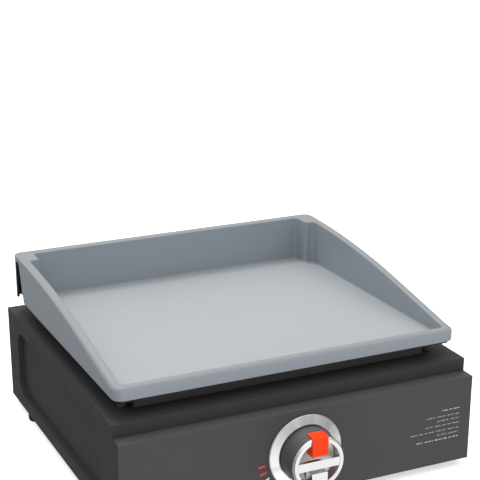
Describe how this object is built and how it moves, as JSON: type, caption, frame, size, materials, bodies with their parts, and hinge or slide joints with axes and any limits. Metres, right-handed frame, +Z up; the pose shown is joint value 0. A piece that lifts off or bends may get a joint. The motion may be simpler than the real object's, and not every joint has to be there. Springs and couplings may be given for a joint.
{
  "type": "electric griddle",
  "caption": "Tabletop electric griddle: folded-steel housing with a thermostat knob, a lift-off steel plate, a silicone cover over the plate, and a slide-out grease tray.",
  "frame": {"origin": "middle of the overall footprint at table level, under the feet", "axes": "+X to the user's right, -Y towards the user, +Z up"},
  "size_m": [0.4544, 0.4708, 0.2137],
  "materials": {
    "shell_paint": "satin charcoal powder coat",
    "panel_paint": "satin charcoal powder coat, a shade lighter",
    "pan_steel": "plain galvanised sheet",
    "foot_rubber": "matt black",
    "screw_steel": "zinc-plated",
    "dark_screw": "blackened",
    "guard_steel": "matt black heat-resistant paint",
    "reflector": "bright aluminised sheet",
    "element_sheath": "heat-darkened sheath",
    "ceramic": "unglazed white",
    "tab_brass": "plain",
    "phenolic": "dark moulded phenolic",
    "copper_tube": "drawn copper colour",
    "inlet_plastic": "black moulded",
    "wire_brown": "insulation",
    "wire_blue": "insulation",
    "wire_green": "insulation",
    "bezel_steel": "circular brushed",
    "knob_plastic": "dark grey satin",
    "chrome": "polished",
    "pointer_orange": "glossy orange",
    "tab_silver": "satin chrome",
    "plate_steel": "seasoned dark steel",
    "silicone": "matt grey silicone",
    "tray_steel": "plain folded sheet",
    "pull_black": "black moulded"
  },
  "bodies": {
    "housing": {"top_deck": "shell_paint", "side_panel_left": "shell_paint", "side_panel_right": "shell_paint", "front_panel": "panel_paint", "rear_panel": "shell_paint", "bottom_pan": "pan_steel", "feet": "foot_rubber", "foot_screws": "screw_steel", "foot_nuts": "screw_steel", "base_screws": "screw_steel", "rear_screws": "dark_screw", "wind_guard": "guard_steel", "reflector_pan": "reflector", "reflector_nuts": "screw_steel", "element_brackets": "pan_steel", "heating_element": "element_sheath", "element_bushings": "ceramic", "element_terminals": "tab_brass", "thermostat_yoke": "screw_steel", "thermostat_body": "phenolic", "thermostat_tabs": "tab_brass", "thermostat_screws": "screw_steel", "sensor_bulb": "copper_tube", "bulb_clips": "pan_steel", "capillary_tube": "copper_tube", "thermal_cutout": "phenolic", "cutout_tabs": "tab_brass", "inlet_socket": "inlet_plastic", "inlet_pins": "tab_brass", "inlet_screws": "screw_steel", "earth_stud": "tab_brass", "earth_nut": "screw_steel", "wire_live": "wire_brown", "wire_neutral": "wire_blue", "wire_earth": "wire_green", "wire_switched": "wire_brown", "wire_cutout": "wire_brown", "tray_runners": "pan_steel", "knob_bezel": "bezel_steel"},
    "knob": {"knob_body": "knob_plastic", "knob_ring": "chrome", "knob_dish": "chrome", "knob_pointer": "pointer_orange", "knob_tab": "tab_silver", "knob_shaft": "screw_steel"},
    "griddle": {"griddle_plate": "plate_steel", "plate_pegs": "guard_steel", "drain_spout": "guard_steel"},
    "cover": {"cover_mat": "silicone"},
    "grease_tray": {"grease_tray": "tray_steel", "tray_pull": "pull_black"}
  },
  "joints": [
    {"name": "knob_turn", "type": "hinge", "parent": "housing", "child": "knob", "pos_m": [0, -0.19785, 0.0659], "axis": [0, 1, 0], "range_deg": [0, 262]},
    {"name": "griddle_lift", "type": "slide", "parent": "housing", "child": "griddle", "axis": [0, 0, 1], "range_m": [0, 0.2]},
    {"name": "cover_lift", "type": "slide", "parent": "griddle", "child": "cover", "axis": [0, 0, 1], "range_m": [0, 0.15]},
    {"name": "tray_slide", "type": "slide", "parent": "housing", "child": "grease_tray", "axis": [0, 1, 0], "range_m": [0, 0.075]}
  ]
}
